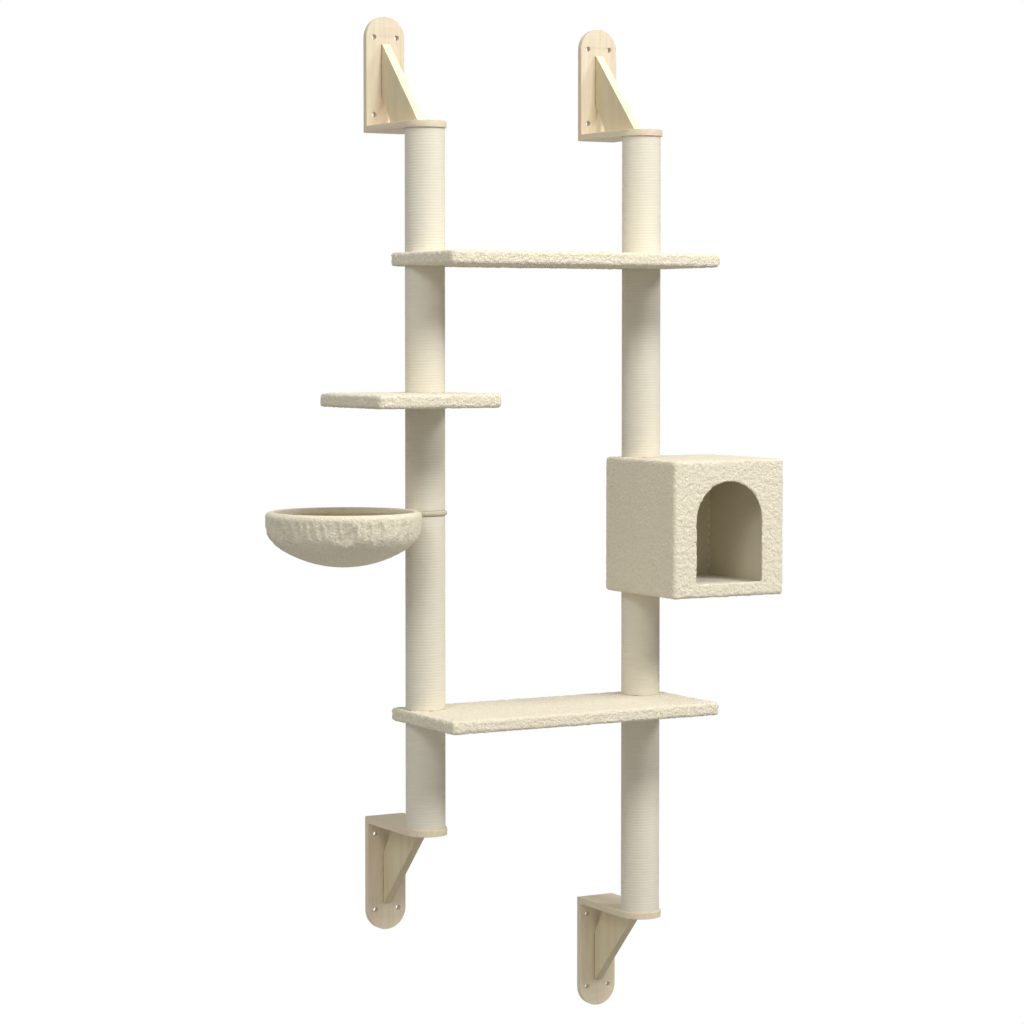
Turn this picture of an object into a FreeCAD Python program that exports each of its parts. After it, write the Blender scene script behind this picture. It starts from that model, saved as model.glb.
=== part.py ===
"""Wall mounted cat tree: two rope-wound posts hung on four wooden wall brackets.

Millimetres, +Z up. The wall is the plane Y = 0 and the tree stands out from it towards -Y.
The origin is the middle of the screw pattern of the upper left wall plate, on the wall.
The left post runs down X = 0, the right post down X = post_spacing.
"""

import FreeCAD, Part
import math
import os

Vec = FreeCAD.Vector

# Posts: a paper tube with a plug in each end, wound with rope.
post_spacing = 444.0
post_to_wall = 160.0
tube_diameter = 60.0
tube_wall = 4.0
rope_diameter = 5.0
plug_length = 22.0
glue_gap = 0.1

# Lengths of the post segments, from the top down.
bracket_to_top_board = 215.0
top_board_to_small_board = 219.0
small_board_to_hammock = 181.0
hammock_to_lower_board = 338.0
left_foot_length = 185.0
top_board_to_house = 340.0
right_foot_length = 373.0

# Wall brackets: a wall plate, a shelf that takes the post's end, and a gusset between them.
plate_width = 76.0
plate_thickness = 12.0
plate_height = 206.0
shelf_thickness = 12.0
gusset_thickness = 16.0
gusset_rise = 145.0
gusset_tip = 3.0
notch_rise = 58.0
notch_reach = 37.0
wall_screw_hole = 9.0
wall_screw_across = 45.0
wall_screw_rise = 137.0
wall_screw_margin = 32.0

# Countersunk wood screws that hold a bracket together, driven from the back of its wall plate.
screw_diameter = 4.0
screw_head = 8.0
screw_length = 30.0
shelf_screws_across = 40.0
gusset_screw_margin = 40.0
screw_clearance = 0.05

# Round pieces that nothing shows are drawn with flat sides, so that the facets stay few.
tube_sides = 16
bolt_sides = 8
screw_sides = 6
hoop_sides = 32

# Countersunk bolts through the shelves and the house, and studs through the boards.
bolt_diameter = 8.0
bolt_head = 16.0
bolt_length = 30.0
bolt_socket = 5.0
bolt_socket_depth = 3.0
bolt_clearance = 0.1
bolt_head_to_gusset = 4.0
stud_length = 48.0

# Boards: a chipboard core in a plush cover.
core_thickness = 16.0
cover_thickness = 4.0
board_depth = 228.0
board_behind_post = 48.0
long_board_past_left = 44.0
long_board_past_right = 54.0
small_board_width = 236.0
small_board_past_right = 54.0
cover_round = 7.0
cover_bevel = 3.0

# House: six panels with a plush cover outside and a plush lining inside, and an arched doorway.
house_width = 234.0
house_depth = 234.0
house_height = 244.0
house_past_left = 53.0
house_behind_post = 39.0
panel_thickness = 12.0
lining_thickness = 2.0
floor_pad = 5.5
lining_clearance = 1.0
doorway_width = 138.0
doorway_sill = 25.0
doorway_lintel = 39.0
doorway_lip = 12.0
sill_wrap = 3.0
house_round = 6.0
house_bevel = 3.0

# Hammock: a flat steel hoop with an eye that swivels on a bush between two left segments.
hammock_angle = 9.0
hammock_gap = 10.0
hoop_thickness = 5.0
hoop_width = 8.0
eye_diameter = 60.0
arm_width = 22.0
hoop_clearance = 0.15
bush_diameter = 20.0
bush_clearance = 0.08
running_gap = 0.3
collar_proud = 3.5
neck_width = 34.0

# Bowl: plush gathered onto a padded rim round the hoop. Its wall is two tangent arcs in section.
bowl_radius = 134.0
bowl_depth = 88.0
bowl_shoulder = 70.0
bowl_wall = 7.0
bowl_flat = 24.0
rim_roll = 9.0
rim_crest = 2.0
gathers = 24
sides_per_gather = 3
inside_sides = 40
gather_depth = 4.0
gather_length = 48.0
bowl_to_post = 5.0

# Sizes worked out from those above.
post_y = -post_to_wall
post_radius = tube_diameter / 2 + rope_diameter
board_thickness = core_thickness + 2 * cover_thickness
top_z = -(wall_screw_margin + wall_screw_rise / 2)
top_board_z = top_z - bracket_to_top_board - board_thickness
small_board_z = top_board_z - top_board_to_small_board - board_thickness
swivel_z = small_board_z - small_board_to_hammock - hammock_gap
lower_board_z = swivel_z - hammock_to_lower_board - board_thickness
left_foot_z = lower_board_z - left_foot_length
house_z = top_board_z - top_board_to_house - house_height
doorway_spring_z = house_z + house_height - doorway_lintel - doorway_width / 2
right_foot_z = lower_board_z - right_foot_length
gusset_reach = post_to_wall - plate_thickness - bolt_head / 2 - bolt_head_to_gusset
hoop_reach = post_radius + bowl_to_post + bowl_radius
hoop_z = swivel_z + hammock_gap / 2
hoop_radius = bowl_radius - rim_roll

POSTS = {"left": 0.0, "right": post_spacing}


def save(name, shape):
    """Write one sub-part to its own file."""
    shape.exportStep("parts/" + name + ".step")


def box(x0, x1, y0, y1, z0, z1):
    """A block between two corners."""
    return Part.makeBox(x1 - x0, y1 - y0, z1 - z0, Vec(x0, y0, z0))


def rod(radius, x, y, z0, z1):
    """An upright cylinder between two heights."""
    return Part.makeCylinder(radius, z1 - z0, Vec(x, y, z0))


def polygon(radius, sides, z):
    """A flat many-sided wire about the Z axis, with its corners on a circle."""
    turns = [2 * math.pi * i / sides for i in range(sides)]
    corners = [Vec(radius * math.cos(turn), radius * math.sin(turn), z) for turn in turns]
    return Part.makePolygon(corners + corners[:1])


def stacked(wires):
    """The solid with flat sides that passes through a stack of wires with matching corners."""
    faces = [Part.Face(wires[0]), Part.Face(wires[-1])]
    for low, high in zip(wires, wires[1:]):
        a = [vertex.Point for vertex in low.OrderedVertexes]
        b = [vertex.Point for vertex in high.OrderedVertexes]
        for i in range(len(a)):
            faces.append(Part.Face(Part.makePolygon([a[i - 1], a[i], b[i], a[i - 1]])))
            faces.append(Part.Face(Part.makePolygon([a[i - 1], b[i], b[i - 1], a[i - 1]])))
    return Part.Solid(Part.makeShell(faces)).removeSplitter()


def sided_rod(sides, radius, x, y, z0, z1):
    """An upright rod with flat sides between two heights."""
    base = polygon(radius, sides, z0)
    base.translate(Vec(x, y, 0))
    return Part.Face(base).extrude(Vec(0, 0, z1 - z0))


def pillow_block(x0, x1, y0, y1, z0, z1, corner, bevel):
    """A block with round upright corners and bevelled edges above and below."""
    block = box(x0, x1, y0, y1, z0, z1)
    upright = [edge for edge in block.Edges if edge.BoundBox.ZLength > z1 - z0 - bevel]
    block = block.makeFillet(corner, upright)
    level = [edge for edge in block.Edges if edge.BoundBox.ZLength < bevel]
    return block.makeChamfer(bevel, level)


def extrude_x(points, x0, x1):
    """A flat outline of (y, z) points, pushed from x0 to x1."""
    corners = [Vec(x0, y, z) for y, z in points]
    face = Part.Face(Part.makePolygon(corners + corners[:1]))
    return face.extrude(Vec(x1 - x0, 0, 0))


def placed(shape, origin, direction):
    """The shape, made along -Z from the origin, turned to point along a direction and moved."""
    turned = shape.copy()
    turned.Placement = FreeCAD.Placement(origin, FreeCAD.Rotation(Vec(0, 0, -1), direction))
    return turned


def screw(gap):
    """A countersunk wood screw from its flush head down, or with a gap its hole."""
    shank = screw_diameter / 2 + gap
    head = screw_head / 2 + gap
    stations = [(head, 0), (shank, shank - head), (shank, -screw_length - gap)]
    return stacked([polygon(radius, screw_sides, z) for radius, z in stations])


def bolt(gap):
    """A countersunk machine bolt from its flush head down, or with a gap its hole."""
    shank = bolt_diameter / 2 + gap
    head = bolt_head / 2 + gap
    stations = [(head, 0), (shank, shank - head), (shank, -bolt_length - gap)]
    return stacked([polygon(radius, bolt_sides, z) for radius, z in stations])


def socketed_bolt():
    """The bolt itself, with the hexagon socket in its head."""
    corner = bolt_socket / 2 / math.cos(math.pi / 6)
    return bolt(0).cut(sided_rod(6, corner, 0, 0, -bolt_socket_depth, 0))


def stud_hole(x, z0, z1):
    """The hole for a stud or bolt shank in a piece on a post's axis."""
    return sided_rod(bolt_sides, bolt_diameter / 2 + bolt_clearance, x, post_y, z0, z1)


# Wall brackets

def bracket_screw_spots(x, z, up):
    """Where a bracket's screws start on the wall: two for the shelf, one for the gusset."""
    shelf_z = z + up * shelf_thickness / 2
    gusset_z = z + up * (shelf_thickness + gusset_rise - gusset_screw_margin)
    half = shelf_screws_across / 2
    return [Vec(x - half, 0, shelf_z), Vec(x + half, 0, shelf_z), Vec(x, 0, gusset_z)]


def bracket_screws(x, z, up):
    """The wood screws of one bracket."""
    return [placed(screw(0), spot, Vec(0, -1, 0)) for spot in bracket_screw_spots(x, z, up)]


def bracket_screw_holes(x, z, up):
    """The cutters for the bracket's screw holes."""
    return [placed(screw(screw_clearance), spot, Vec(0, -1, 0)) for spot in bracket_screw_spots(x, z, up)]


def wall_plate(x, z, up):
    """The upright plate: one end square and flush with the shelf, the other a half round."""
    radius = plate_width / 2
    end = z + up * (plate_height - radius)
    low, high = sorted((z, end))
    plate = box(x - radius, x + radius, -plate_thickness, 0, low, high)
    nose = Part.makeCylinder(radius, plate_thickness, Vec(x, -plate_thickness, end), Vec(0, 1, 0))
    plate = plate.fuse(nose).removeSplitter()
    holes = bracket_screw_holes(x, z, up)
    for side in (-1, 1):
        for rise in (wall_screw_margin, wall_screw_margin + wall_screw_rise):
            start = Vec(x + side * wall_screw_across / 2, -plate_thickness, z + up * rise)
            holes.append(Part.makeCylinder(wall_screw_hole / 2, plate_thickness, start, Vec(0, 1, 0)))
    return plate.cut(holes)


def bracket_bolt(x, z, up):
    """Where the bolt that holds the post to the shelf starts, and which way it points."""
    return Vec(x, post_y, z + up * shelf_thickness), Vec(0, 0, -up)


def shelf(x, z, up):
    """The flat arm from the plate to the post, with a half-round nose about the post's axis."""
    radius = plate_width / 2
    low, high = sorted((z, z + up * shelf_thickness))
    arm = box(x - radius, x + radius, post_y, -plate_thickness, low, high)
    arm = arm.fuse(rod(radius, x, post_y, low, high)).removeSplitter()
    return arm.cut(bracket_screw_holes(x, z, up) + [placed(bolt(bolt_clearance), *bracket_bolt(x, z, up))])


def gusset(x, z, up):
    """The triangular web, blunt at both tips and notched where plate and shelf meet."""
    foot = z + up * shelf_thickness
    wall = -plate_thickness
    outline = [
        (wall, foot + up * notch_rise),
        (wall, foot + up * gusset_rise),
        (wall - gusset_tip, foot + up * gusset_rise),
        (wall - gusset_reach, foot + up * gusset_tip),
        (wall - gusset_reach, foot),
        (wall - notch_reach, foot),
    ]
    web = extrude_x(outline, x - gusset_thickness / 2, x + gusset_thickness / 2)
    return web.cut(bracket_screw_holes(x, z, up))


def make_brackets():
    """Four brackets: the upper pair stands above the posts' tops, the lower pair hangs below."""
    places = {
        "upper_left": (POSTS["left"], top_z, 1),
        "upper_right": (POSTS["right"], top_z, 1),
        "lower_left": (POSTS["left"], left_foot_z, -1),
        "lower_right": (POSTS["right"], right_foot_z, -1),
    }
    screws = []
    bolts = []
    for name, place in places.items():
        save(name + "_wall_plate", wall_plate(*place))
        save(name + "_shelf", shelf(*place))
        save(name + "_gusset", gusset(*place))
        screws += bracket_screws(*place)
        bolts.append(placed(socketed_bolt(), *bracket_bolt(*place)))
    save("bracket_screws", Part.makeCompound(screws))
    return bolts


# Posts

def post_segments():
    """For each post, the bottom and top height of every segment, from the lowest up."""
    gap_top = swivel_z + hammock_gap
    left = [
        (left_foot_z, lower_board_z),
        (lower_board_z + board_thickness, swivel_z),
        (gap_top, small_board_z),
        (small_board_z + board_thickness, top_board_z),
        (top_board_z + board_thickness, top_z),
    ]
    right = [
        (right_foot_z, lower_board_z),
        (lower_board_z + board_thickness, house_z),
        (house_z + house_height, top_board_z),
        (top_board_z + board_thickness, top_z),
    ]
    return {"left": left, "right": right}


def rope_wrap(x, z0, z1):
    """The rope winding on one segment, as a sleeve over its crests."""
    inside = sided_rod(tube_sides, tube_diameter / 2 + glue_gap, x, post_y, z0, z1)
    return rod(post_radius, x, post_y, z0, z1).cut(inside)


def tube(x, z0, z1):
    """The paper tube of one segment."""
    outside = sided_rod(tube_sides, tube_diameter / 2, x, post_y, z0, z1)
    return outside.cut(sided_rod(tube_sides, tube_diameter / 2 - tube_wall, x, post_y, z0, z1))


def plug(x, z0, z1):
    """A wooden plug glued into one end of a tube, bored for the stud."""
    disc = sided_rod(tube_sides, tube_diameter / 2 - tube_wall - glue_gap, x, post_y, z0, z1)
    return disc.cut(stud_hole(x, z0, z1))


def make_posts():
    """Tubes, plugs and rope wraps of both posts."""
    for side, segments in post_segments().items():
        x = POSTS[side]
        plugs = []
        for number, (z0, z1) in enumerate(segments, 1):
            save(side + "_rope_wrap_" + str(number), rope_wrap(x, z0, z1))
            save(side + "_tube_" + str(number), tube(x, z0, z1))
            plugs += [plug(x, z0, z0 + plug_length), plug(x, z1 - plug_length, z1)]
        save(side + "_post_plugs", Part.makeCompound(plugs))


def make_studs():
    """The double-ended studs through the boards and through the hammock's bush."""
    half_board = board_thickness / 2
    middles = [(POSTS["left"], z + half_board) for z in (lower_board_z, small_board_z, top_board_z)]
    middles += [(POSTS["right"], z + half_board) for z in (lower_board_z, top_board_z)]
    middles.append((POSTS["left"], swivel_z + hammock_gap / 2))
    half = stud_length / 2
    radius = bolt_diameter / 2
    studs = [sided_rod(bolt_sides, radius, x, post_y, z - half, z + half) for x, z in middles]
    save("post_studs", Part.makeCompound(studs))


# Boards

def make_board(name, x0, x1, z, posts):
    """One board: a core, and a cover that encloses it."""
    rear = post_y + board_behind_post
    front = rear - board_depth
    skin = cover_thickness
    holes = [stud_hole(x, z, z + board_thickness) for x in posts]
    core = box(x0 + skin, x1 - skin, front + skin, rear - skin, z + skin, z + board_thickness - skin)
    cover = pillow_block(x0, x1, front, rear, z, z + board_thickness, cover_round, cover_bevel)
    save(name + "_core", core.cut(holes))
    save(name + "_cover", cover.cut([core] + holes))


def make_boards():
    """Two long boards across both posts and a small one on the left post."""
    left, right = POSTS["left"], POSTS["right"]
    x0 = left - long_board_past_left
    x1 = right + long_board_past_right
    make_board("top_board", x0, x1, top_board_z, (left, right))
    make_board("lower_board", x0, x1, lower_board_z, (left, right))
    x1 = left + small_board_past_right
    make_board("small_board", x1 - small_board_width, x1, small_board_z, (left,))


# House

def doorway(x, y0, y1, grow, drop):
    """The doorway's cutter: a block under a half round, wider and taller by grow, its sill lower by drop."""
    radius = doorway_width / 2 + grow
    spring = doorway_spring_z
    sill = house_z + doorway_sill - drop
    arch = Part.makeCylinder(radius, y1 - y0, Vec(x, y0, spring), Vec(0, 1, 0))
    return box(x - radius, x + radius, y0, y1, sill, spring).fuse(arch).removeSplitter()


def make_house():
    """Six panels between a plush cover and lining, bolted between two segments of the right post."""
    post_x = POSTS["right"]
    x0 = post_x - house_past_left
    x1 = x0 + house_width
    y1 = post_y + house_behind_post
    y0 = y1 - house_depth
    z0 = house_z
    z1 = z0 + house_height
    skin = cover_thickness
    wall = skin + panel_thickness
    lined = wall + lining_thickness
    middle = (x0 + x1) / 2
    clear_opening = doorway(middle, y0 - skin, y0 + lined + skin, 0, 0)
    panel_opening = doorway(middle, y0 + skin, y0 + lined + skin, doorway_lip, sill_wrap)
    lower_head = (Vec(post_x, post_y, z0 + wall), Vec(0, 0, -1))
    upper_head = (Vec(post_x, post_y, z1 - wall), Vec(0, 0, 1))
    down, up = [placed(bolt(bolt_clearance), *head) for head in (lower_head, upper_head)]

    floor = box(x0 + skin, x1 - skin, y0 + skin, y1 - skin, z0 + skin, z0 + wall)
    roof = box(x0 + skin, x1 - skin, y0 + skin, y1 - skin, z1 - wall, z1 - skin)
    left = box(x0 + skin, x0 + wall, y0 + skin, y1 - skin, z0 + wall, z1 - wall)
    right = box(x1 - wall, x1 - skin, y0 + skin, y1 - skin, z0 + wall, z1 - wall)
    rear = box(x0 + wall, x1 - wall, y1 - wall, y1 - skin, z0 + wall, z1 - wall)
    front = box(x0 + wall, x1 - wall, y0 + skin, y0 + wall, z0 + wall, z1 - wall)
    save("house_floor", floor.cut(down))
    save("house_roof", roof.cut(up))
    save("house_left_wall", left)
    save("house_right_wall", right)
    save("house_rear_wall", rear)
    save("house_front_wall", front.cut(panel_opening))

    outside = box(x0 + skin, x1 - skin, y0 + skin, y1 - skin, z0 + skin, z1 - skin)
    sill = z0 + doorway_sill
    over_sill = panel_opening.common(box(x0, x1, y0 + skin, y0 + wall, sill - sill_wrap, sill))
    cover = pillow_block(x0, x1, y0, y1, z0, z1, house_round, house_bevel).cut(outside)
    save("house_cover", cover.fuse(over_sill).cut([clear_opening, down, up]))
    inside = box(x0 + wall, x1 - wall, y0 + wall, y1 - wall, z0 + wall, z1 - wall)
    hollow = box(x0 + lined, x1 - lined, y0 + lined, y1 - lined, z0 + wall + floor_pad, z1 - lined)
    over_heads = sided_rod(bolt_sides, bolt_head / 2 + lining_clearance, post_x, post_y, z0, z1)
    save("house_lining", inside.cut([hollow, panel_opening, over_heads]))
    return [placed(socketed_bolt(), *head) for head in (lower_head, upper_head)]


# Hammock, made pointing along -X from the left post and then swung to its place at rest

def swung(shape):
    """A hammock piece turned about the left post."""
    turned = shape.copy()
    turned.rotate(Vec(POSTS["left"], post_y, 0), Vec(0, 0, 1), hammock_angle)
    return turned


def at_hoop(shape):
    """A piece made about the Z axis, moved to the middle of the hoop."""
    shape.translate(Vec(POSTS["left"] - hoop_reach, post_y, hoop_z))
    return shape


def hoop_ring(gap):
    """The flat ring of the hoop, or with a gap the pocket that it lies in."""
    half = hoop_thickness / 2 + gap
    outer = hoop_radius + hoop_width / 2 + gap
    inner = hoop_radius - hoop_width / 2 - gap
    disc = sided_rod(hoop_sides, outer, 0, 0, -half, half)
    return at_hoop(disc.cut(sided_rod(hoop_sides, inner, 0, 0, -half, half)))


def arm(gap):
    """The flat arm from the post's axis out to the ring, or with a gap the slot that it lies in."""
    x = POSTS["left"]
    half_width = arm_width / 2 + gap
    half = hoop_thickness / 2 + gap
    end = x - hoop_reach + hoop_radius
    return box(end, x, post_y - half_width, post_y + half_width, hoop_z - half, hoop_z + half)


def eye():
    """The disc about the post's axis that ends the arm."""
    half = hoop_thickness / 2
    return sided_rod(hoop_sides, eye_diameter / 2, POSTS["left"], post_y, hoop_z - half, hoop_z + half)


def hoop():
    """The steel hoop, its arm and the eye that turns on the bush, in one piece."""
    half = hoop_thickness / 2
    bore = rod(bush_diameter / 2 + bush_clearance, POSTS["left"], post_y, hoop_z - half, hoop_z + half)
    return eye().fuse([arm(0), hoop_ring(0)]).removeSplitter().cut(bore)


def bush():
    """The steel bush clamped between the two segments, which the eye turns on."""
    top = swivel_z + hammock_gap
    body = rod(bush_diameter / 2, POSTS["left"], post_y, swivel_z, top)
    return body.cut(stud_hole(POSTS["left"], swivel_z, top))


def bowl_section(inset):
    """Radius and height of the bowl's wall, from the edge of its flat base up to the hoop."""
    shoulder_x = bowl_radius - bowl_shoulder
    spread = bowl_depth - bowl_shoulder
    rise = (shoulder_x ** 2 - spread ** 2) / (2 * spread)
    base_radius = rise + bowl_depth - inset
    shoulder_radius = bowl_shoulder - inset
    tangent = math.atan2(shoulder_x, rise)
    first = math.asin(bowl_flat / base_radius)
    base = [first + (tangent - first) * i / 2 for i in range(2)]
    shoulder = [tangent + (math.pi / 2 - tangent) * i / 4 for i in range(5)]
    points = [(base_radius * math.sin(a), rise - base_radius * math.cos(a)) for a in base]
    for angle in shoulder:
        points.append((shoulder_x + shoulder_radius * math.sin(angle), -shoulder_radius * math.cos(angle)))
    return points


def gathered(radius, z):
    """A wire round the bowl, drawn in at the gathers, most a third of the way down their length."""
    share = min(1, max(0, -z / gather_length))
    dip = gather_depth * 6.75 * share * (1 - share) ** 2
    sides = sides_per_gather * gathers
    corners = []
    for i in range(sides):
        turn = 2 * math.pi * i / sides
        reach = radius if i % sides_per_gather else radius - dip
        corners.append(Vec(reach * math.cos(turn), reach * math.sin(turn), z))
    return Part.makePolygon(corners + corners[:1])


def bowl():
    """The plush bowl with its padded rim."""
    slant = rim_roll * math.sqrt(0.5)
    rim = [(hoop_radius + slant, slant), (hoop_radius + rim_crest, rim_roll)]
    outside = stacked([gathered(radius, z) for radius, z in bowl_section(0) + rim])
    wall = [point for point in bowl_section(bowl_wall) if point[1] < -rim_roll]
    lip = [
        (hoop_radius, -rim_roll),
        (hoop_radius - slant, -slant),
        (hoop_radius - slant, slant),
        (hoop_radius - rim_crest, rim_roll),
    ]
    inside = stacked([polygon(radius, inside_sides, z) for radius, z in wall + lip])
    return at_hoop(outside.cut(inside))


def collar():
    """The padded collar about the eye, with a neck that runs out to the bowl's rim."""
    x = POSTS["left"]
    low = swivel_z + running_gap
    high = swivel_z + hammock_gap - running_gap
    disc = sided_rod(hoop_sides, post_radius + collar_proud, x, post_y, low, high)
    end = x - hoop_reach + hoop_radius
    neck = box(end, x, post_y - neck_width / 2, post_y + neck_width / 2, low, high)
    bore = sided_rod(hoop_sides, bush_diameter / 2 + running_gap, x, post_y, low, high)
    return disc.fuse(neck).removeSplitter().cut([bore, eye(), arm(0)])


def make_hammock():
    """Hoop, bowl, collar and bush."""
    plush = bowl()
    save("hammock_hoop", swung(hoop()))
    save("hammock_bowl", swung(plush.cut([hoop_ring(hoop_clearance), arm(hoop_clearance)])))
    save("hammock_collar", swung(collar().cut(plush)))
    save("hammock_bush", bush())


os.makedirs("parts", exist_ok=True)
frame_bolts = make_brackets()
make_posts()
make_studs()
make_boards()
frame_bolts += make_house()
save("frame_bolts", Part.makeCompound(frame_bolts))
make_hammock()
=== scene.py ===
import math
import random

import bmesh
import bpy
from mathutils import Matrix, Vector


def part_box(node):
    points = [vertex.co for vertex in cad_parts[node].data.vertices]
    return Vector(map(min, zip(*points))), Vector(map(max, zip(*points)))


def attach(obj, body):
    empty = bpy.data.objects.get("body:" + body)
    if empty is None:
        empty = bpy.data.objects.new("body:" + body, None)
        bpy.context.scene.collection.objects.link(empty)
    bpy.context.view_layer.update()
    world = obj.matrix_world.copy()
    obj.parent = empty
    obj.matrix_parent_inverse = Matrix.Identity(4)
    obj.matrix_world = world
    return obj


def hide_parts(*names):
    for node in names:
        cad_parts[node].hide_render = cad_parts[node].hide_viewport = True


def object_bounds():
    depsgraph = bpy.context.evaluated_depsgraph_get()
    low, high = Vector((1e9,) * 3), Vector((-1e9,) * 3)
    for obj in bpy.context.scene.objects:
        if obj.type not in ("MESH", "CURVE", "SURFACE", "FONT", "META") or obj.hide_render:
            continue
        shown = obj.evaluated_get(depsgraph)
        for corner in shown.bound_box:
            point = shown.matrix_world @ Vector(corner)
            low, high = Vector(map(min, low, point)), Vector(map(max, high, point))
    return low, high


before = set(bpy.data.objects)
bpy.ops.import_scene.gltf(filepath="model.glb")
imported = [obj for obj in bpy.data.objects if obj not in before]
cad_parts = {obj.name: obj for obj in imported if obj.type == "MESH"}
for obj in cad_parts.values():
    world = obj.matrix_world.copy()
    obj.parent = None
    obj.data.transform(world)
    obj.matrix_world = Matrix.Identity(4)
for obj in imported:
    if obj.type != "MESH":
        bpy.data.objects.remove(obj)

cad_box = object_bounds()
scene = bpy.context.scene


# The viewpoint: a long lens, about five metres off, thirty degrees to the left of the tree's front and a
# little above its middle.

camera_data = bpy.data.cameras.new("camera")
camera_data.sensor_width = 36
camera_data.lens = 102.78
camera_data.shift_x = 0.003
camera_data.shift_y = -0.045
camera = bpy.data.objects.new("camera", camera_data)
camera.location = (-2.3953, -4.6531, -0.4620)
camera_turn, camera_pitch = 29.705, 2.529
camera.rotation_euler = (math.radians(90 - camera_pitch), 0, math.radians(-camera_turn))
scene.collection.objects.link(camera)
scene.camera = camera


# The studio: a plain pale floor well under the tree that is clear from below, a sky that looks white and
# lights more from the left, and four soft round lamps: the main one in front and above, and weaker ones on
# both sides and overhead.

def node(tree, kind, inputs=None, **settings):
    """A shader node with its settings. Each input is given a value or the socket that feeds it."""
    made = tree.nodes.new("ShaderNode" + kind)
    for name, value in settings.items():
        setattr(made, name, value)
    for name, value in (inputs or {}).items():
        if isinstance(value, bpy.types.NodeSocket):
            tree.links.new(value, made.inputs[name])
        else:
            made.inputs[name].default_value = value
    return made


def maths(tree, operation, a, b=0.5):
    """The result of one sum on two values."""
    return node(tree, "Math", {0: a, 1: b}, operation=operation).outputs[0]


def seen_rays(tree):
    """1 for a ray from the camera, off gloss or through a clear surface, and 0 for light on the tree."""
    path = node(tree, "LightPath").outputs
    seen = maths(tree, "MAXIMUM", path["Is Camera Ray"], path["Is Glossy Ray"])
    return maths(tree, "MAXIMUM", seen, path["Is Transmission Ray"])


world = bpy.data.worlds.new("studio")
scene.world = world
world.use_nodes = True
tree = world.node_tree
tree.nodes.clear()
toward = node(tree, "TexCoord").outputs["Generated"]
toward_x, _, toward_z = node(tree, "SeparateXYZ", {0: toward}).outputs
above = node(tree, "MapRange", {"Value": toward_z, "From Min": -0.1, "From Max": 0.1}).outputs[0]
side_glow = node(tree, "MapRange", {
    "Value": toward_x, "From Min": -0.6, "From Max": 0.3, "To Min": 0.32, "To Max": -0.06,
})
sky_level = maths(tree, "ADD", 0.23, maths(tree, "MULTIPLY", above, side_glow.outputs[0]))
sky_light = node(tree, "Background", {"Color": (1, 1, 1, 1), "Strength": sky_level}).outputs[0]
sky_seen = node(tree, "Background", {"Color": (1, 1, 1, 1), "Strength": 1}).outputs[0]
sky = node(tree, "MixShader", {0: seen_rays(tree), 1: sky_light, 2: sky_seen}).outputs[0]
node(tree, "OutputWorld", {"Surface": sky})

lamp_aim = Vector((0.2, -0.2, -0.8))
lamp_distance = 5.8
lamp_width = 1.8
lamps = {
    "main": (8, 44, 166), "overhead": (-10, 72, 50),
    "left_fill": (-48, 35, 56), "right_fill": (50, 34, 104),
}
for name, (azimuth, height, watts) in lamps.items():
    lamp_data = bpy.data.lights.new(name + "_lamp", "AREA")
    lamp_data.shape = "DISK"
    lamp_data.size = lamp_width
    lamp_data.energy = watts
    lamp = bpy.data.objects.new(name + "_lamp", lamp_data)
    raised = Matrix.Rotation(math.radians(azimuth), 3, "Z") @ Matrix.Rotation(math.radians(-height), 3, "X")
    toward = raised @ Vector((0, -1, 0))
    lamp.location = lamp_aim + lamp_distance * toward
    lamp.rotation_euler = toward.to_track_quat("Z", "Y").to_euler()
    scene.collection.objects.link(lamp)

floor_drop = 0.8
floor_reach = 2.4
floor_height = cad_box[0][2] - floor_drop
floor_mesh = bpy.data.meshes.new("floor")
sheet = bmesh.new()
bmesh.ops.create_circle(sheet, cap_ends=True, segments=96, radius=floor_reach)
sheet.to_mesh(floor_mesh)
sheet.free()
floor = bpy.data.objects.new("floor", floor_mesh)
floor.location = ((cad_box[0][0] + cad_box[1][0]) / 2, (cad_box[0][1] + cad_box[1][1]) / 2, floor_height)
scene.collection.objects.link(floor)

pale_floor = bpy.data.materials.new("pale_floor")
pale_floor.use_nodes = True
tree = pale_floor.node_tree
tree.nodes.clear()
place = node(tree, "TexCoord").outputs["Object"]
out_from_middle = node(tree, "VectorMath", {0: place}, operation="LENGTH").outputs["Value"]
fade = node(tree, "MapRange", {
    "Value": out_from_middle, "From Min": 0.5 * floor_reach, "From Max": 0.97 * floor_reach,
})
fade.interpolation_type = "SMOOTHSTEP"
white = node(tree, "Emission", {"Color": (1, 1, 1, 1), "Strength": 1}).outputs[0]
seen = seen_rays(tree)
paint_lit, paint_seen = (0.6, 0.59, 0.57, 1), (0.93, 0.925, 0.91, 1)
paint = node(tree, "Mix", {0: seen, 6: paint_lit, 7: paint_seen}, data_type="RGBA").outputs[2]
painted = node(tree, "BsdfDiffuse", {"Color": paint}).outputs[0]
rim_seen = maths(tree, "MULTIPLY", fade.outputs[0], seen)
floor_top = node(tree, "MixShader", {0: rim_seen, 1: painted, 2: white}).outputs[0]
from_below = node(tree, "NewGeometry").outputs["Backfacing"]
clear = node(tree, "BsdfTransparent").outputs[0]
floor_surface = node(tree, "MixShader", {0: from_below, 1: floor_top, 2: clear}).outputs[0]
node(tree, "OutputMaterial", {"Surface": floor_surface})
floor_mesh.materials.append(pale_floor)


# Wall brackets: four of them, each a plate with one round end, a shelf with a round nose and a notched
# gusset. They are sawn from pale light wood and eased by sanding, then glued and screwed together. A thin
# dark line of painted shade runs along each gusset where it meets the wall plate, and the gussets' sawn
# edges are painted lighter on the upper brackets and darker on the lower ones, as painted light and shade.

def mixed(tree, factor, a, b):
    """Two colours mixed by a factor."""
    return node(tree, "Mix", {0: factor, 6: a, 7: b}, data_type="RGBA").outputs[2]


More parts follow.
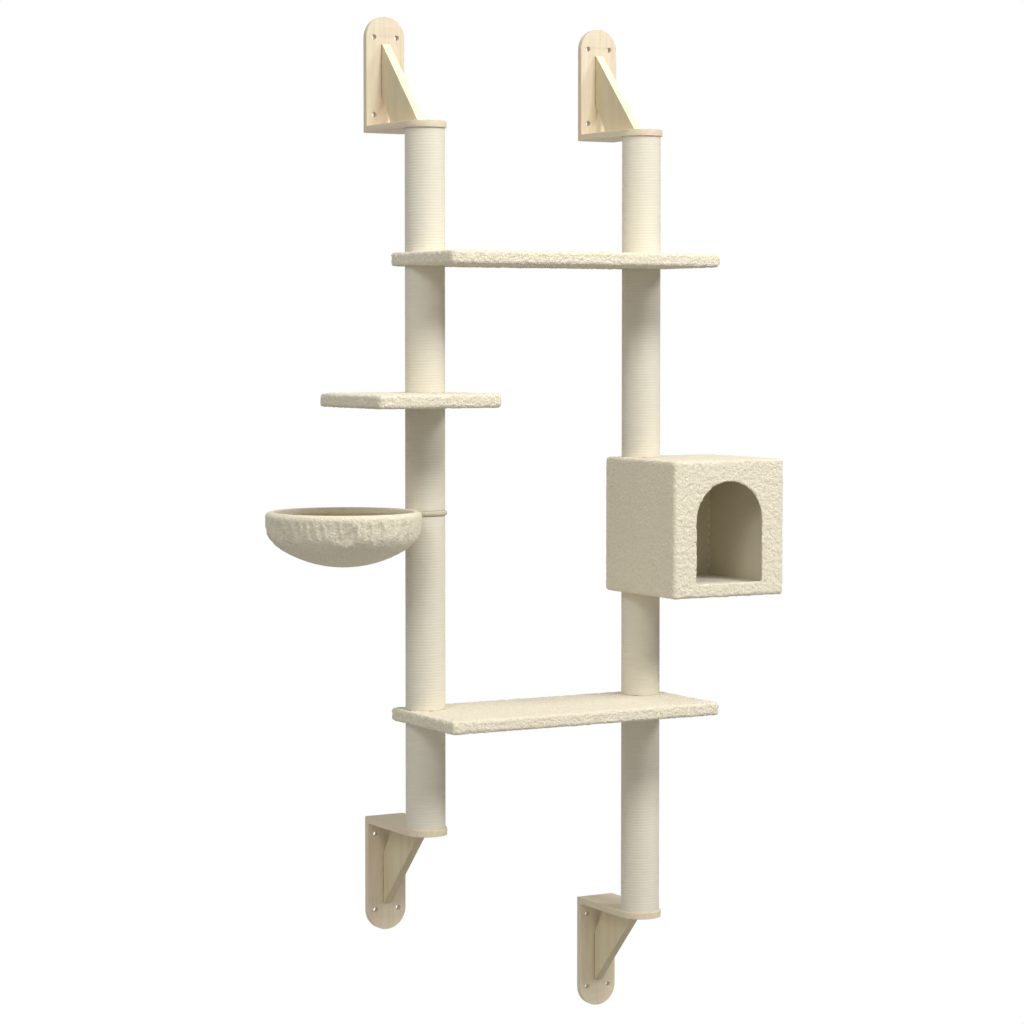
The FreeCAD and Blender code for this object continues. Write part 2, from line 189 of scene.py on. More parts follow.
def between(tree, value, low, high, to_low=0.0, to_high=1.0):
    """A value carried from one range to another and held inside it."""
    ends = {"Value": value, "From Min": low, "From Max": high, "To Min": to_low, "To Max": to_high}
    return node(tree, "MapRange", ends).outputs[0]


def new_group(name, inputs, outputs):
    """An empty group of shader nodes with its named sockets: its tree, what comes in and what goes out."""
    group = bpy.data.node_groups.new(name, "ShaderNodeTree")
    for socket, (kind, value) in inputs.items():
        made = group.interface.new_socket(socket, in_out="INPUT", socket_type="NodeSocket" + kind)
        made.default_value = value
    for socket, kind in outputs.items():
        group.interface.new_socket(socket, in_out="OUTPUT", socket_type="NodeSocket" + kind)
    return group, group.nodes.new("NodeGroupInput").outputs, group.nodes.new("NodeGroupOutput").inputs


def grouped(tree, group, **inputs):
    """The outputs of a group placed in a material, fed by name with _ for a space."""
    placed = node(tree, "Group", node_tree=group)
    for name, value in inputs.items():
        socket = placed.inputs[name.replace("_", " ")]
        if isinstance(value, bpy.types.NodeSocket):
            tree.links.new(value, socket)
        else:
            socket.default_value = value
    return placed.outputs


def new_material(name, **even):
    """A material with one Principled shader, its even values set by name with _ for a space."""
    material = bpy.data.materials.new(name)
    material.use_nodes = True
    shader = material.node_tree.nodes["Principled BSDF"]
    for socket, value in even.items():
        shader.inputs[socket.replace("_", " ")].default_value = value
    return material, material.node_tree, shader.inputs


def bumped(tree, sockets, height, distance, strength=1.0):
    """Feeds the shader's normal from a height, where 1 stands this far proud."""
    bump = node(tree, "Bump", {"Height": height, "Distance": distance, "Strength": strength})
    tree.links.new(bump.outputs["Normal"], sockets["Normal"])


def wood_grain_group():
    """Straight grain: broad warm and cool stripes with fine dark lines in them, long in one direction."""
    group, given, result = new_group("wood_grain", {
        "Vector": ("Vector", (0, 0, 0)), "Stretch": ("Vector", (120, 120, 6)),
        "Light": ("Color", (0.8, 0.7, 0.5, 1)), "Warm": ("Color", (0.8, 0.6, 0.5, 1)),
        "Line": ("Color", (0.6, 0.5, 0.3, 1)), "Line Amount": ("Float", 0.4),
    }, {"Color": "Color", "Roughness": "Float", "Height": "Float"})
    slow = {"Vector": given["Vector"], "Scale": 9.0, "Detail": 1.0}
    bend = node(group, "TexNoise", slow).outputs["Color"]
    bend = node(group, "VectorMath", {0: bend, "Scale": 0.012}, operation="SCALE").outputs[0]
    wavy = node(group, "VectorMath", {0: given["Vector"], 1: bend}, operation="ADD").outputs[0]
    along = node(group, "VectorMath", {0: wavy, 1: given["Stretch"]}, operation="MULTIPLY").outputs[0]
    stripes = node(group, "TexNoise", {"Vector": along, "Scale": 0.5, "Detail": 1.0}).outputs["Fac"]
    quick = {"Vector": along, "Scale": 2.2, "Detail": 4.0, "Roughness": 0.6}
    lines = node(group, "TexNoise", quick).outputs["Fac"]
    ground = mixed(group, between(group, stripes, 0.35, 0.65), given["Light"], given["Warm"])
    dark = maths(group, "MULTIPLY", between(group, lines, 0.5, 0.75), given["Line Amount"])
    group.links.new(mixed(group, dark, ground, given["Line"]), result["Color"])
    group.links.new(between(group, lines, 0.3, 0.7, 0.55, 0.68), result["Roughness"])
    group.links.new(between(group, lines, 0.45, 0.8, 1.0, 0.0), result["Height"])
    return group


wood_grain = wood_grain_group()


def wood(name, stretch, light, warm, line, line_amount=0.4):
    """A material of bare sanded wood whose grain runs where the stretch is least."""
    material, tree, sockets = new_material(name, Specular_IOR_Level=0.3)
    place = node(tree, "TexCoord").outputs["Object"]
    grain = grouped(tree, wood_grain, Vector=place, Stretch=stretch, Light=light, Warm=warm, Line=line,
                    Line_Amount=line_amount)
    tree.links.new(grain["Color"], sockets["Base Color"])
    tree.links.new(grain["Roughness"], sockets["Roughness"])
    bumped(tree, sockets, grain["Height"], 0.0002, 0.5)
    return material


upright_grain, level_grain = (110, 110, 4), (110, 4, 110)
cream_wood, pink_wood, wood_line = (0.76, 0.68, 0.49, 1), (0.77, 0.64, 0.49, 1), (0.56, 0.45, 0.27, 1)
plate_wood = wood("plate_wood", upright_grain, cream_wood, pink_wood, wood_line)
shelf_wood = wood("shelf_wood", level_grain, cream_wood, pink_wood, wood_line)
gusset_wood = wood("gusset_wood", upright_grain, (0.76, 0.67, 0.46, 1), (0.71, 0.60, 0.40, 1), wood_line)
# The gussets' sawn edges come in two copies: a paler one on the upper brackets is painted light, and a
# darker one on the lower brackets is painted shade.
gusset_edge_painted_light_wood = wood(
    "gusset_edge_painted_light_wood", upright_grain, (0.88, 0.82, 0.60, 1), (0.87, 0.78, 0.54, 1), wood_line, 0.15)
gusset_edge_painted_shade_wood = wood(
    "gusset_edge_painted_shade_wood", upright_grain, (0.62, 0.54, 0.37, 1), (0.58, 0.49, 0.32, 1), wood_line, 0.3)
# A thin dark brown line on each gusset where it meets the wall plate is painted shade of the joint.
joint_painted_shade_brown = (0.20, 0.13, 0.06, 1)
joint_shade_reach, joint_shade_core = 0.0022, 0.0016
joint_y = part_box("upper_left_wall_plate")[0].y
for made in (gusset_wood, gusset_edge_painted_light_wood, gusset_edge_painted_shade_wood):
    tree = made.node_tree
    colour = tree.nodes["Principled BSDF"].inputs["Base Color"]
    out = node(tree, "SeparateXYZ", {0: node(tree, "TexCoord").outputs["Object"]}).outputs["Y"]
    joint = between(tree, out, joint_y - joint_shade_reach, joint_y - joint_shade_core)
    tree.links.new(mixed(tree, joint, colour.links[0].from_socket, joint_painted_shade_brown), colour)


def add_piece(name, mesh, material, body, slot, *replaced):
    """A piece of the tree that rides on its body and stands for the solids it replaces."""
    piece = bpy.data.objects.new(name, mesh)
    scene.collection.objects.link(piece)
    mesh.materials.clear()
    mesh.materials.append(material)
    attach(piece, body)
    if replaced:
        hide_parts(*replaced)
    return piece


def arc(x, y, radius, start, end, steps):
    """Points along an arc, from one angle to another in degrees."""
    turns = [math.radians(start + (end - start) * i / steps) for i in range(steps + 1)]
    return [(x + radius * math.cos(turn), y + radius * math.sin(turn)) for turn in turns]


def hole(x, y, radius):
    """A round hole's loop, run the other way about from an outline."""
    return arc(x, y, radius, 0, -360, 32)[:-1]


def sawn(name, loops, thickness, ease, to_row):
    """A flat board cut to the first loop, with the others as holes and eased edges, moved by a matrix."""
    cut = bpy.data.curves.new(name, "CURVE")
    cut.dimensions = "2D"
    cut.fill_mode = "BOTH"
    cut.extrude = thickness / 2 - ease
    cut.bevel_depth = ease
    cut.bevel_resolution = 2
    cut.offset = -ease
    for loop in loops:
        spline = cut.splines.new("POLY")
        spline.points.add(len(loop) - 1)
        spline.points.foreach_set("co", [value for x, y in loop for value in (x, y, 0, 1)])
        spline.use_cyclic_u = True
    drawn = bpy.data.objects.new(name, cut)
    scene.collection.objects.link(drawn)
    mesh = bpy.data.meshes.new_from_object(drawn.evaluated_get(bpy.context.evaluated_depsgraph_get()))
    bpy.data.objects.remove(drawn)
    shape = bmesh.new()
    shape.from_mesh(mesh)
    bmesh.ops.remove_doubles(shape, verts=shape.verts, dist=1e-6)
    bmesh.ops.recalc_face_normals(shape, faces=shape.faces)
    shape.to_mesh(mesh)
    shape.free()
    mesh.transform(to_row)
    mesh.shade_smooth()
    mesh.set_sharp_from_angle(angle=math.radians(15))
    return mesh


ease = 0.0008
wall_hole = 0.0045
wall_hole_across, wall_hole_rise, wall_hole_margin = 0.045, 0.137, 0.032
screw_head = 0.004
shelf_screws_across, gusset_screw_margin = 0.040, 0.040
bolt_head = 0.008
notch_rise, notch_reach = 0.058, 0.037
gusset_tip = 0.003
facing_wall = Matrix(((1, 0, 0, 0), (0, 0, 1, 0), (0, 1, 0, 0), (0, 0, 0, 1)))
facing_side = Matrix(((0, 0, 1, 0), (1, 0, 0, 0), (0, 1, 0, 0), (0, 0, 0, 1)))
brackets = ("upper_left", "upper_right", "lower_left", "lower_right")
screw_spots = []

for side in brackets:
    up = 1 if side.startswith("upper") else -1
    low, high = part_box(side + "_wall_plate")
    middle, radius = (low.x + high.x) / 2, (high.x - low.x) / 2
    thickness = high.y - low.y
    square_end = low.z if up > 0 else high.z
    shelf_low, shelf_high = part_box(side + "_shelf")
    shelf_thickness = shelf_high.z - shelf_low.z
    gusset_low, gusset_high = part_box(side + "_gusset")
    gusset_rise = gusset_high.z - gusset_low.z

    round_z = (high.z - radius) if up > 0 else (low.z + radius)
    outline = [(middle - up * radius, square_end), (middle + up * radius, square_end)]
    outline += arc(middle, round_z, radius, 0 if up > 0 else 180, 180 if up > 0 else 360, 48)
    holes = [
        hole(middle + across * wall_hole_across / 2, square_end + up * rise, wall_hole)
        for across in (-1, 1) for rise in (wall_hole_margin, wall_hole_margin + wall_hole_rise)
    ]
    shelf_screw_z = square_end + up * shelf_thickness / 2
    gusset_screw_z = square_end + up * (shelf_thickness + gusset_rise - gusset_screw_margin)
    spots = [(middle + across * shelf_screws_across / 2, shelf_screw_z) for across in (-1, 1)]
    spots.append((middle, gusset_screw_z))
    screw_spots += [(x, 0.0, z) for x, z in spots]
    holes += [hole(x, z, screw_head) for x, z in spots]
    plate = sawn(side + "_plate", [outline] + holes, thickness, ease,
                 Matrix.Translation((0, (low.y + high.y) / 2, 0)) @ facing_wall)
    add_piece(side + "_plate_wood", plate, plate_wood, "stand", "plywood", side + "_wall_plate")

    nose_y = shelf_low.y + radius
    outline = [(middle + radius, shelf_high.y), (middle - radius, shelf_high.y)]
    outline += arc(middle, nose_y, radius, 180, 360, 48)
    arm = sawn(side + "_shelf", [outline, hole(middle, nose_y, bolt_head)], shelf_thickness, ease,
               Matrix.Translation((0, 0, (shelf_low.z + shelf_high.z) / 2)))
    add_piece(side + "_shelf_wood", arm, shelf_wood, "stand", "plywood", side + "_shelf")

    foot = shelf_high.z if up > 0 else shelf_low.z
    wall, tip = gusset_high.y, gusset_low.y
    outline = [
        (wall, foot + up * notch_rise),
        (wall, foot + up * gusset_rise),
        (wall - gusset_tip, foot + up * gusset_rise),
        (tip, foot + up * gusset_tip),
        (tip, foot),
        (wall - notch_reach, foot),
    ]
    if up < 0:
        outline.reverse()
    web = sawn(side + "_gusset", [outline], gusset_high.x - gusset_low.x, ease,
               Matrix.Translation((middle, 0, 0)) @ facing_side)
    add_piece(side + "_gusset_wood", web, gusset_wood, "stand", "plywood", side + "_gusset")
    # Sawn edges: painted light on the upper gussets, painted shade on the lower ones.
    web.materials.append(gusset_edge_painted_light_wood if up > 0 else gusset_edge_painted_shade_wood)
    for face in web.polygons:
        face.material_index = 1 if abs(face.normal.x) < 0.5 else 0


# Screws and bolts, all zinc plated: the countersunk wood screws that hold each bracket together from behind,
# and the countersunk socket bolts that hold the posts to the shelves and to the house.

def turned(name, rings, segments, places):
    """Turned pieces of rings, each a reach, plain or by angle, and a height, at each place and way down."""
    shape = bmesh.new()
    for place, down in places:
        tilt = Vector((0, 0, -1)).rotation_difference(Vector(down)).to_matrix().to_4x4()
        to_row = Matrix.Translation(place) @ tilt
        loops = []
        for reach, height in rings:
            loop = []
            for i in range(segments):
                turn = 2 * math.pi * i / segments
                out = reach(turn) if callable(reach) else reach
                point = Vector((out * math.cos(turn), out * math.sin(turn), height))
                loop.append(shape.verts.new(to_row @ point))
            loops.append(loop)
        for low, high in zip(loops, loops[1:]):
            for i in range(segments):
                shape.faces.new((low[i - 1], low[i], high[i], high[i - 1]))
        shape.faces.new(loops[0])
        shape.faces.new(list(reversed(loops[-1])))
    bmesh.ops.recalc_face_normals(shape, faces=shape.faces)
    mesh = bpy.data.meshes.new(name)
    shape.to_mesh(mesh)
    shape.free()
    mesh.shade_smooth()
    mesh.set_sharp_from_angle(angle=math.radians(30))
    return mesh


def cross(arm, half_width):
    """The reach of a cross-shaped recess by angle."""
    def reach(turn):
        off = (turn + math.pi / 4) % (math.pi / 2) - math.pi / 4
        return min(arm / math.cos(off), half_width / max(abs(math.sin(off)), 1e-6))
    return reach


def hexagon(half_across):
    """The reach of a hexagon socket by angle."""
    return lambda turn: half_across / math.cos((turn + math.pi / 6) % (math.pi / 3) - math.pi / 6)


def metal(name, colour, roughness, speckle):
    """A thin metal coat with faint cloudy patches."""
    material, tree, sockets = new_material(name, Metallic=1.0)
    place = node(tree, "TexCoord").outputs["Object"]
    cloud = node(tree, "TexNoise", {"Vector": place, "Scale": 260.0, "Detail": 3.0}).outputs["Fac"]
    dull = tuple(0.8 * value for value in colour[:3]) + (1,)
    tree.links.new(mixed(tree, between(tree, cloud, 0.4, 0.7), colour, dull), sockets["Base Color"])
    rough = between(tree, cloud, 0.3, 0.7, roughness - speckle, roughness + speckle)
    tree.links.new(rough, sockets["Roughness"])
    return material


zinc = metal("zinc_plate", (0.72, 0.73, 0.74, 1), 0.34, 0.08)
screw_rings = [
    (cross(0.0007, 0.0004), -0.0016), (cross(0.0020, 0.0006), 0.0), (0.0038, 0.0), (0.0040, -0.0002),
    (0.0022, -0.0024), (0.0020, -0.0030), (0.0019, -0.0270), (0.0004, -0.0300),
]
screws = turned("bracket_wood_screws", screw_rings, 24, [(spot, (0, -1, 0)) for spot in screw_spots])
add_piece("bracket_wood_screws", screws, zinc, "stand", "zinc_steel", "bracket_screws")

post_x = {"left": 0.0, "right": 0.444}
post_y = -0.160
bolt_places = []
for side in brackets:
    low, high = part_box(side + "_shelf")
    x = post_x[side.split("_")[1]]
    upper = side.startswith("upper")
    bolt_places.append(((x, post_y, high.z if upper else low.z), (0, 0, -1 if upper else 1)))
for z, down in ((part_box("house_floor")[1].z, -1), (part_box("house_roof")[0].z, 1)):
    bolt_places.append(((post_x["right"], post_y, z), (0, 0, down)))
bolt_rings = [
    (hexagon(0.0022), -0.0034), (hexagon(0.0025), -0.0030), (hexagon(0.0025), -0.0002),
    (hexagon(0.0028), 0.0), (0.0074, 0.0), (0.0079, -0.0004), (0.0079, -0.0007), (0.0042, -0.0043),
    (0.0040, -0.0060), (0.0040, -0.0292), (0.0032, -0.0300),
]
bolts = turned("shelf_and_house_bolts", bolt_rings, 48, bolt_places)
add_piece("shelf_and_house_bolts", bolts, zinc, "stand", "zinc_steel", "frame_bolts")


# Posts: nine lengths of paper tube between the shelves, the boards, the house and the hammock's swivel.
# Each is wound tight with one cream rope, turn against turn, and the crests show as fine level lines.

rope_pitch = 0.005
rope_groove = 0.00035
tube_wall_gap = 0.0001
around, rows_per_turn = 48, 6


def wound(name, low, high):
    """The winding of one post segment: a closed sleeve whose outside follows the rope's helix."""
    x, y = (low.x + high.x) / 2, (low.y + high.y) / 2
    crest = (high.x - low.x) / 2
    bore = crest - rope_pitch + tube_wall_gap
    step = rope_pitch / rows_per_turn
    reset = around // rows_per_turn
    rows = int((high.z - low.z) / step)
    dip = [rope_groove * (1 - math.sqrt(1 - (2 * i / rows_per_turn - 1) ** 2))
           for i in range(rows_per_turn)]
    points = []
    for j in range(around):
        turn = 2 * math.pi * j / around
        for i in range(rows + 1):
            z = low.z + (i + j % reset / reset) * step
            z = low.z if i == 0 else high.z if i == rows else min(z, high.z)
            end = i in (0, rows)
            r = crest - (rope_groove if end else dip[(i - j // reset) % rows_per_turn])
            points.append((x + r * math.cos(turn), y + r * math.sin(turn), z))
    first_bore = len(points)
    for z in (low.z, high.z):
        for j in range(around):
            turn = 2 * math.pi * j / around
            points.append((x + bore * math.cos(turn), y + bore * math.sin(turn), z))

    faces, corners = [], []

    def outside(*spots):
        faces.append([(j % around) * (rows + 1) + i for j, i in spots])
        corners.extend((2 * math.pi * crest * j / around, i * step) for j, i in spots)

    def inside(*verts):
        faces.append(list(verts))
        corners.extend([(0.0, 0.0)] * len(verts))

    for j in range(around):
        jump = 1 if (j + 1) % reset == 0 else 0
        for i in range(rows - jump):
            outside((j, i), (j + 1, i + jump), (j + 1, i + 1 + jump), (j, i + 1))
        if jump:
            outside((j, 0), (j + 1, 0), (j + 1, 1))
            outside((j, rows - 1), (j + 1, rows), (j, rows))
        after = (j + 1) % around
        bottom, top = first_bore, first_bore + around
        inside(bottom + after, bottom + j, top + j, top + after)
        inside(after * (rows + 1), j * (rows + 1), bottom + j, bottom + after)
        inside(j * (rows + 1) + rows, after * (rows + 1) + rows, top + after, top + j)
    mesh = bpy.data.meshes.new(name)
    mesh.from_pydata(points, [], faces)
    unrolled = mesh.uv_layers.new(name="winding")
    unrolled.data.foreach_set("uv", [value for pair in corners for value in pair])
    mesh.shade_smooth()
    mesh.set_sharp_from_angle(angle=math.radians(60))
    return mesh


strand_length = 0.0042
rope_light, rope_dark = (0.81, 0.76, 0.63, 1), (0.74, 0.685, 0.55, 1)
cream_rope, tree, sockets = new_material(
    "cream_rope", Specular_IOR_Level=0.2, Roughness=0.85, Sheen_Weight=0.15)
laid = node(tree, "UVMap", uv_map="winding").outputs["UV"]
level, upward, _ = node(tree, "SeparateXYZ", {0: laid}).outputs
along, across = maths(tree, "DIVIDE", level, strand_length), maths(tree, "DIVIDE", upward, rope_pitch)
strand = maths(tree, "ADD", along, across)
strand = maths(tree, "SINE", maths(tree, "MULTIPLY", strand, 2 * math.pi))
fibre_place = node(tree, "VectorMath", {0: laid, 1: (260, 900, 1)}, operation="MULTIPLY").outputs[0]
fibre = node(tree, "TexNoise", {"Vector": fibre_place, "Scale": 1.0, "Detail": 3.0}).outputs["Fac"]
patch_place = node(tree, "VectorMath", {0: laid, 1: (30, 200, 1)}, operation="MULTIPLY").outputs[0]
patch = node(tree, "TexNoise", {"Vector": patch_place, "Scale": 1.0, "Detail": 2.0}).outputs["Fac"]
# The strand pattern darkens the gaps between the twisted strands with painted shade; the fibre and patch
# noise are the rope's own uneven tone.
strand_shade = between(tree, strand, -1.0, 0.2, 0.08, 0.0)
fibre_shade = between(tree, fibre, 0.4, 0.7, 0.0, 0.15)
shade = maths(tree, "ADD", strand_shade, fibre_shade)
tone = maths(tree, "ADD", shade, between(tree, patch, 0.4, 0.7, 0.0, 0.3))
tree.links.new(mixed(tree, tone, rope_light, rope_dark), sockets["Base Color"])
relief = maths(tree, "ADD", maths(tree, "MULTIPLY", strand, 0.5), fibre)
bumped(tree, sockets, relief, 0.00015, 0.5)

for side, count in (("left", 5), ("right", 4)):
    for i in range(1, count + 1):
        wrap = f"{side}_rope_wrap_{i}"
        winding = wound(wrap, *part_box(wrap))
        add_piece(f"{side}_rope_winding_{i}", winding, cream_rope, "stand", "rope", wrap)


# Boards: three chipboard shelves in cream plush, wrapped and glued, so that every edge is soft and round.
# The pile is short and curled, in nubs a few millimetres across; the small gaps between them are darkened
# with painted shade.

def plain_block(low, high):
    """A closed block with square edges."""
    shape = bmesh.new()
    placed = Matrix.Translation((low + high) / 2) @ Matrix.Diagonal((*(high - low), 1))
    bmesh.ops.create_cube(shape, size=1, matrix=placed)
    return shape


def rounded_block(low, high, corner, edge):
    """A closed block with round upright corners and round edges above and below."""
    shape = plain_block(low, high)
    half_height = (high - low).z / 2
    upright = [e for e in shape.edges if abs(e.verts[0].co.z - e.verts[1].co.z) > half_height]
    bmesh.ops.bevel(shape, geom=upright, offset=corner, segments=6, profile=0.5, affect="EDGES")
    level = []
    for e in shape.edges:
        steep = sorted(abs(face.normal.z) for face in e.link_faces)
        if abs(e.verts[0].co.z - e.verts[1].co.z) < 1e-6 and len(steep) == 2:
            if steep[0] < 0.1 and steep[1] > 0.9:
                level.append(e)
    bmesh.ops.bevel(shape, geom=level, offset=edge, segments=5, profile=0.5, affect="EDGES")
    return shape


def working_object(name, shape):
    """A scratch object for modifiers, from a bmesh."""
    mesh = bpy.data.meshes.new(name)
    shape.to_mesh(mesh)
    shape.free()
    made = bpy.data.objects.new(name, mesh)
    scene.collection.objects.link(made)
    return made


def finished_mesh(made):
    """The scratch object's mesh with its modifiers applied; the object goes."""
    evaluated = made.evaluated_get(bpy.context.evaluated_depsgraph_get())
    mesh = bpy.data.meshes.new_from_object(evaluated)
    bpy.data.objects.remove(made)
    mesh.shade_smooth()
    return mesh


def remesh(made, size):
    """Even square faces all over, as fine as the pile needs, with the sharp steps taken off."""
    even = made.modifiers.new("even", "REMESH")
    even.mode = "VOXEL"
    even.voxel_size = size
    soft = made.modifiers.new("soft", "SMOOTH")
    soft.factor = 0.5
    soft.iterations = 3


def raise_pile(made, curl, nub, tuft, where=""):
    """Curled pile: nubs of one curl's size, in tufts of two or three, all over or where a group says."""
    for kind, size, height, mid in (("VORONOI", curl, -nub, 0.25), ("CLOUDS", 2.2 * curl, tuft, 0.5)):
        pattern = bpy.data.textures.new(made.name + "_" + kind.lower(), kind)
        pattern.noise_scale = size
        lift = made.modifiers.new(kind.lower(), "DISPLACE")
        lift.texture = pattern
        lift.texture_coords = "LOCAL"
        lift.strength = height
        lift.mid_level = mid
        lift.vertex_group = where


def plush_pile_group():
    """Cream pile: pale curl tips, painted shade between the curls, and fine yarn noise in both."""
    group, given, result = new_group("plush_pile", {
        "Vector": ("Vector", (0, 0, 0)), "Curl": ("Float", 0.006), "Tip": ("Color", (0.9, 0.85, 0.7, 1)),
        "Gap": ("Color", (0.7, 0.6, 0.45, 1)), "Gap Amount": ("Float", 0.4),
    }, {"Color": "Color", "Height": "Float"})
    density = maths(group, "DIVIDE", 1.0, given["Curl"])
    loose = {"Vector": given["Vector"], "Scale": density, "Detail": 2.0}
    warp = node(group, "TexNoise", loose).outputs["Color"]
    warp = node(group, "VectorMath", {0: warp, "Scale": given["Curl"]}, operation="SCALE").outputs[0]
    curly = node(group, "VectorMath", {0: given["Vector"], 1: warp}, operation="ADD").outputs[0]
    cells = node(group, "TexVoronoi", {"Vector": curly, "Scale": density}).outputs["Distance"]
    fine = maths(group, "MULTIPLY", density, 3.5)
    yarn = node(group, "TexNoise", {"Vector": curly, "Scale": fine, "Detail": 3.0}).outputs["Fac"]
    # The gap colour between the curls is painted shade.
    gap = maths(group, "ADD", between(group, cells, 0.35, 0.8), between(group, yarn, 0.62, 0.4, -0.3, 0.5))
    gap = maths(group, "MULTIPLY", node(group, "Clamp", {"Value": gap}).outputs[0], given["Gap Amount"])
    group.links.new(mixed(group, gap, given["Tip"], given["Gap"]), result["Color"])
    height = maths(group, "SUBTRACT", maths(group, "MULTIPLY", yarn, 0.8), cells)
    group.links.new(height, result["Height"])
    return group


plush_pile = plush_pile_group()


def plush(name, curl, tip, gap, gap_amount, relief):
    """A material of curled cream pile with the soft bloom of plush."""
    material, tree, sockets = new_material(
        name, Roughness=0.95, Specular_IOR_Level=0.1, Sheen_Weight=0.25, Sheen_Roughness=0.6)
    place = node(tree, "TexCoord").outputs["Object"]
    pile = grouped(tree, plush_pile, Vector=place, Curl=curl, Tip=tip, Gap=gap, Gap_Amount=gap_amount)
    tree.links.new(pile["Color"], sockets["Base Color"])
    bumped(tree, sockets, pile["Height"], relief)
    return material


curl, nub_height, tuft_height = 0.0042, 0.0020, 0.0022
plush_tip, plush_gap_painted_shade = (0.92, 0.845, 0.66, 1), (0.64, 0.545, 0.375, 1)
cream_plush = plush("cream_plush", curl, plush_tip, plush_gap_painted_shade, 0.3, 0.0012)
voxel = 0.002
board_corner, board_edge = 0.007, 0.0055

for board in ("top", "small", "lower"):
    low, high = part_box(board + "_board_cover")
    wrapped = working_object(board + "_board", rounded_block(low, high, board_corner, board_edge))
    remesh(wrapped, voxel)
    raise_pile(wrapped, curl, nub_height, tuft_height)
    cover = add_piece(board + "_board_plush", finished_mesh(wrapped), cream_plush, "stand", "plush",
                      board + "_board_cover")


# House: a chipboard box in one plush cover. The cover's edge overhangs the panel's wider doorway, turns in
# only over the sill, and is brushed flatter on its left side. A thinner plush lines the inside over a padded
# floor: the lining is darkened with painted shade and the floor is paler with painted light. Pale stitches
# run up the lining's rear corner, and their brightness is painted light coming through the seam.

def arch_block(x, y0, y1, sill, spring, radius):
    """The doorway's shape as a closed block: straight sides under a half round."""
    outline = [(x - radius, sill), (x + radius, sill)] + arc(x, spring, radius, 0, 180, 48)
    shape = bmesh.new()
    front = [shape.verts.new((px, y0, pz)) for px, pz in outline]
    back = [shape.verts.new((px, y1, pz)) for px, pz in outline]
    shape.faces.new(front)
    shape.faces.new(list(reversed(back)))
    for i in range(len(outline)):
        shape.faces.new((front[i - 1], front[i], back[i], back[i - 1]))
    bmesh.ops.recalc_face_normals(shape, faces=shape.faces)
    return shape


def cut_from(made, shape, operation="DIFFERENCE"):
    """Cuts a shape from the scratch object, or joins it on."""
    tool = working_object("tool", shape)
    boolean = made.modifiers.new("cut", "BOOLEAN")
    boolean.operation = operation
    boolean.object = tool
    boolean.solver = "EXACT"
    evaluated = made.evaluated_get(bpy.context.evaluated_depsgraph_get())
    mesh = bpy.data.meshes.new_from_object(evaluated)
    made.modifiers.remove(boolean)
    made.data = mesh
    bpy.data.objects.remove(tool)


house_low, house_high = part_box("house_cover")
panel_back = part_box("house_front_wall")[1].y
house_corner, house_edge = 0.007, 0.006
cover_skin = Vector((0.004,) * 3)
doorway_x = (house_low.x + house_high.x) / 2
doorway_radius, doorway_lintel, doorway_step = 0.069, 0.039, 0.025
doorway_sill = house_low.z + doorway_step
doorway_spring = house_high.z - doorway_lintel - doorway_radius
doorway_lip, sill_wrap, sill_bite = 0.012, 0.003, 0.002
panel_radius = doorway_radius + doorway_lip
past = 0.01

wrapped = working_object("house", rounded_block(house_low, house_high, house_corner, house_edge))
cut_from(wrapped, plain_block(house_low + cover_skin, house_high - cover_skin))
sill_low = Vector((doorway_x - panel_radius, house_low.y + sill_bite, doorway_sill - sill_wrap))
sill_high = Vector((doorway_x + panel_radius, panel_back, doorway_sill))
cut_from(wrapped, plain_block(sill_low, sill_high), "UNION")
cut_from(wrapped, arch_block(doorway_x, house_low.y - past, panel_back + past, doorway_sill, doorway_spring,
                             doorway_radius))
remesh(wrapped, voxel)
brushed = bpy.data.objects.new("brushed_house", finished_mesh(wrapped))
scene.collection.objects.link(brushed)
nap = brushed.vertex_groups.new(name="nap")
side_depth, side_fade, side_nap = 0.002, 0.010, 0.5
for vertex in brushed.data.vertices:
    from_side = min(1.0, max(0.0, (vertex.co.x - house_low.x - side_depth) / side_fade))
    nap.add([vertex.index], side_nap + (1 - side_nap) * from_side, "REPLACE")
raise_pile(brushed, curl, nub_height, tuft_height, "nap")
cover = add_piece("house_plush_cover", finished_mesh(brushed), cream_plush, "stand", "plush", "house_cover")

draw_stitch = random.Random(3)
# The lining is a darker copy of the cream plush, as painted shade, and the floor's plush is a paler copy, as
# painted light.
lining_plush_painted_shade = plush("lining_plush_painted_shade", 0.003, (0.80, 0.74, 0.58, 1), (0.66, 0.59, 0.43, 1), 0.3, 0.0004)
floor_plush_painted_light = plush("floor_plush_painted_light", curl, (0.98, 0.92, 0.76, 1), (0.80, 0.72, 0.55, 1), 0.2, 0.0012)
lining_low, lining_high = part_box("house_lining")
lining_skin = Vector((0.002,) * 3)
floor_pad = Vector((0.002, 0.002, 0.0055))
lined = working_object("lining", plain_block(lining_low, lining_high))
cut_from(lined, plain_block(lining_low + floor_pad, lining_high - lining_skin))
cut_from(lined, arch_block(doorway_x, lining_low.y - past, lining_low.y + past, doorway_sill - sill_wrap,
                           doorway_spring, panel_radius))
head_clearance, through = 0.009, 0.4
on_bolts = Matrix.Translation((post_x["right"], post_y, (lining_low.z + lining_high.z) / 2))
over_heads = bmesh.new()
bmesh.ops.create_cone(over_heads, cap_ends=True, segments=32, radius1=head_clearance,
                      radius2=head_clearance, depth=through, matrix=on_bolts)
cut_from(lined, over_heads)
lining = add_piece("house_plush_lining", finished_mesh(lined), lining_plush_painted_shade, "stand", "plush",
                   "house_lining")
lining.data.set_sharp_from_angle(angle=math.radians(30))
lining.data.materials.append(floor_plush_painted_light)
for face in lining.data.polygons:
    if face.normal.z > 0.9 and face.center.z < doorway_sill:
        face.material_index = 1

